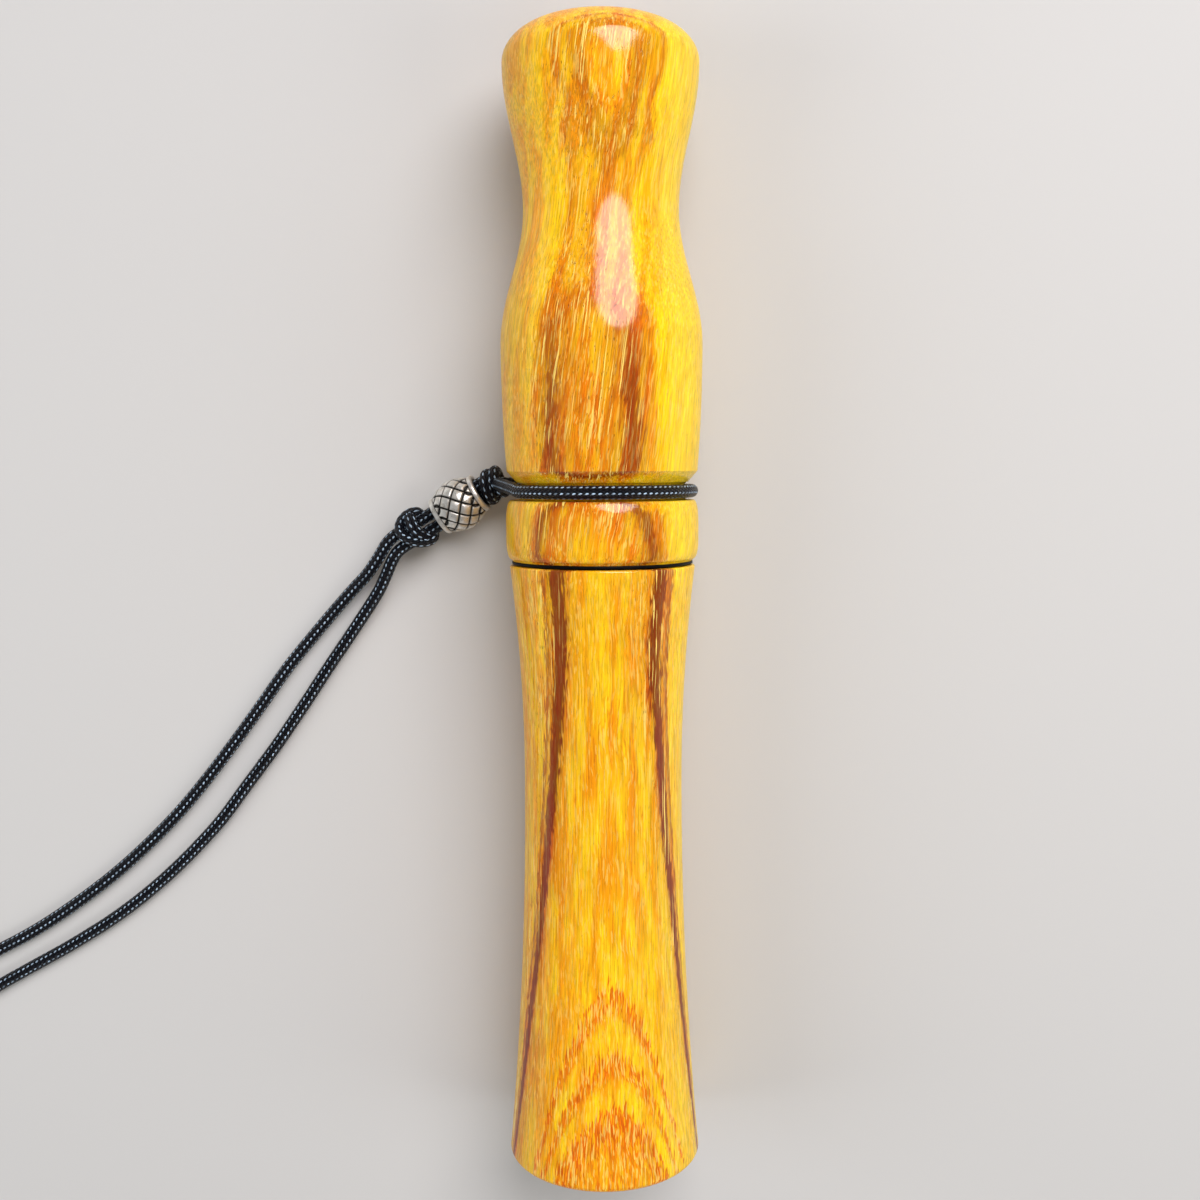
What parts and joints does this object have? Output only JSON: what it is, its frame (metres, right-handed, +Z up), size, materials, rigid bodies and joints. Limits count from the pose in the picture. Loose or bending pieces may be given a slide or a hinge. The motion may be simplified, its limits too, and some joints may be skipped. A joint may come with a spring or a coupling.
{
  "type": "grunt call",
  "caption": "Turned wooden deer grunt call lying on its side: flared barrel, contoured mouthpiece, reed insert with tone board, and a braided neck lanyard with a metal bead.",
  "frame": {"origin": "under the middle of the call, on the surface that it lies on", "axes": "+Y along the call's axis towards the mouth end, +Z up from the surface, +X to the right of the picture"},
  "size_m": [0.1734, 0.1958, 0.0319],
  "materials": {
    "wood": "golden burl-figured hardwood under a gloss lacquer",
    "black_rubber": "smooth black nitrile",
    "black_plastic": "satin moulded black plastic",
    "amber_film": "clear amber polyester film",
    "cork": "sanded natural cork",
    "antique_silver": "polished antique silver, dark in the incised lines",
    "braided_cord": "black braided cord with pale tracer threads"
  },
  "bodies": {
    "lanyard": {"noose": "braided_cord", "noose_knot": "braided_cord", "stopper_knot": "braided_cord", "bead_strand_a": "braided_cord", "bead_strand_b": "braided_cord", "lanyard_coil": "braided_cord", "lanyard_strand_a": "braided_cord", "lanyard_strand_b": "braided_cord"},
    "mouthpiece": {"mouthpiece": "wood", "tenon_o_ring_lower": "black_rubber", "tenon_o_ring_upper": "black_rubber"},
    "bead": {"bead": "antique_silver"},
    "seam": {"seam_ring": "black_rubber"},
    "barrel": {"barrel": "wood"},
    "reed_insert": {"reed_plug": "black_plastic", "plug_o_ring": "black_rubber", "tone_board": "black_plastic", "reed_wedge": "cork"},
    "reed": {"reed": "amber_film"},
    "tuning_ring": {"tuning_ring": "black_rubber"}
  },
  "joints": [
    {"name": "call_turn", "type": "hinge", "parent": "lanyard", "child": "mouthpiece", "pos_m": [0, 0.01855, 0.01595], "axis": [0, 1, 0], "continuous": true},
    {"name": "bead_spin", "type": "hinge", "parent": "lanyard", "child": "bead", "pos_m": [-0.0239, 0.01615, 0.0049], "axis": [-0.8542, -0.5091, -0.105], "continuous": true},
    {"name": "barrel_pull", "type": "slide", "parent": "mouthpiece", "child": "seam", "axis": [0, -1, 0], "range_m": [0, 0.024]},
    {"name": "barrel_turn", "type": "hinge", "parent": "seam", "child": "barrel", "pos_m": [0, 0.01, 0.01595], "axis": [0, 1, 0], "continuous": true},
    {"name": "reed_insert_pull", "type": "slide", "parent": "mouthpiece", "child": "reed_insert", "axis": [0, -1, 0], "range_m": [0, 0.065]},
    {"name": "reed_flex", "type": "hinge", "parent": "reed_insert", "child": "reed", "pos_m": [0, 0.0057, 0.01742], "axis": [1, 0, 0], "range_deg": [-1.5, 2.5], "stiffness_Nm_per_rad": 0.02},
    {"name": "tuning_ring_slide", "type": "slide", "parent": "reed_insert", "child": "tuning_ring", "axis": [0, 1, 0], "range_m": [-0.005, 0.008]}
  ]
}
